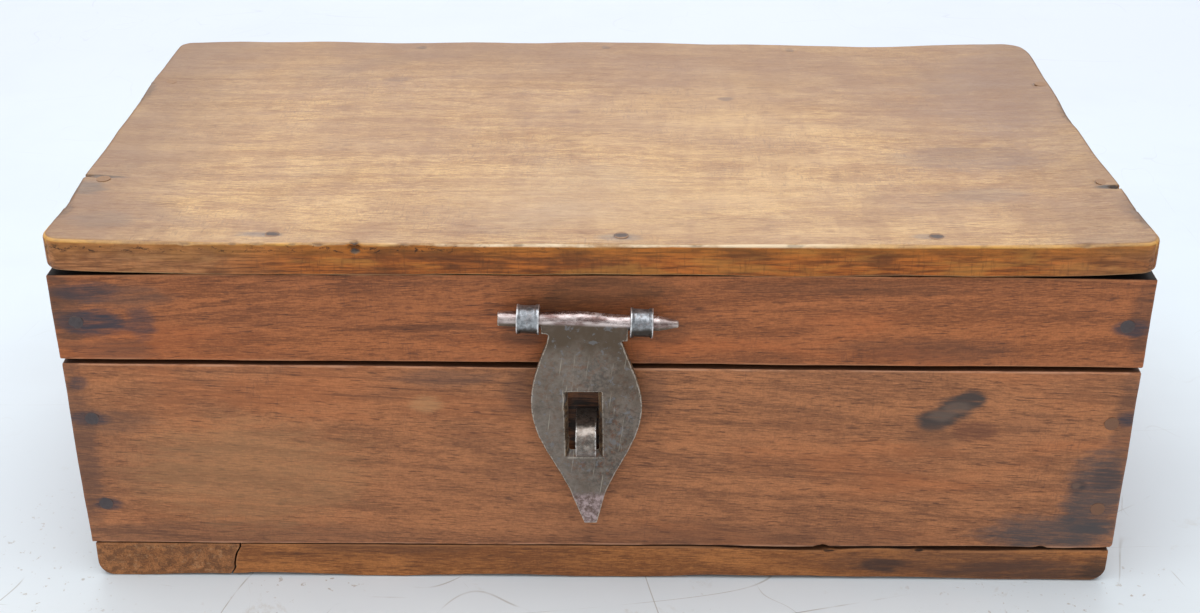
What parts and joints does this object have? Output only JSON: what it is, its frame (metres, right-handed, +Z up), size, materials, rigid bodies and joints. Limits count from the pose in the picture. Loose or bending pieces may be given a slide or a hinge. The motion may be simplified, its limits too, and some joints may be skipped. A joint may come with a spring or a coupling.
{
  "type": "spice box",
  "caption": "Rectangular wooden spice box with a plank-topped lid hinged at the back, a divided inside, and a leaf-shaped iron hasp that closes over a lock staple.",
  "frame": {"origin": "middle of the flat underside, where the box stands on a table", "axes": "+X along the front, to the right as one faces the hasp; +Y from the hasp to the hinges; +Z up"},
  "size_m": [0.282, 0.1689, 0.1046],
  "materials": {
    "base_wood": "worn, dry orange-brown softwood",
    "strip_wood": "worn, dry mottled brown wood",
    "board_wood": "worn, dry reddish-brown wood with dark streaks",
    "rail_wood": "worn, dry reddish-brown wood with dark streaks",
    "top_wood": "worn, dry golden-brown wood with grey patches",
    "divider_wood": "dry brown wood",
    "forged_iron": "slate-grey forged iron with rust specks",
    "rubbed_iron": "rubbed forged iron strip",
    "nail_iron": "blackened hand-forged iron"
  },
  "bodies": {
    "box": {"base_board": "base_wood", "base_end_strip": "strip_wood", "body_front_board": "board_wood", "body_back_board": "board_wood", "body_left_board": "board_wood", "body_right_board": "board_wood", "divider_long": "divider_wood", "dividers_cross": "divider_wood", "base_nails": "nail_iron", "body_corner_nails": "nail_iron", "lock_staple": "rubbed_iron", "hinge_left_body_leaf": "forged_iron", "hinge_right_body_leaf": "forged_iron", "hinge_left_pin": "rubbed_iron", "hinge_right_pin": "rubbed_iron", "hinge_body_nails": "nail_iron"},
    "lid": {"lid_top_board": "top_wood", "lid_front_rail": "rail_wood", "lid_back_rail": "rail_wood", "lid_left_rail": "rail_wood", "lid_right_rail": "rail_wood", "lid_top_nails": "nail_iron", "lid_corner_nails": "nail_iron", "hinge_left_lid_leaf": "forged_iron", "hinge_right_lid_leaf": "forged_iron", "hinge_lid_nails": "nail_iron", "hasp_eye_left": "rubbed_iron", "hasp_eye_right": "rubbed_iron"},
    "hasp": {"hasp": "forged_iron"}
  },
  "joints": [
    {"name": "lid_hinge", "type": "hinge", "parent": "box", "child": "lid", "pos_m": [0, 0.0785, 0.068], "axis": [-1, 0, 0], "range_deg": [0, 180]},
    {"name": "hasp_hinge", "type": "hinge", "parent": "lid", "child": "hasp", "pos_m": [-0.0037, -0.0799, 0.0834], "axis": [-0.9995, 0, 0.0314], "range_deg": [0, 184]}
  ]
}
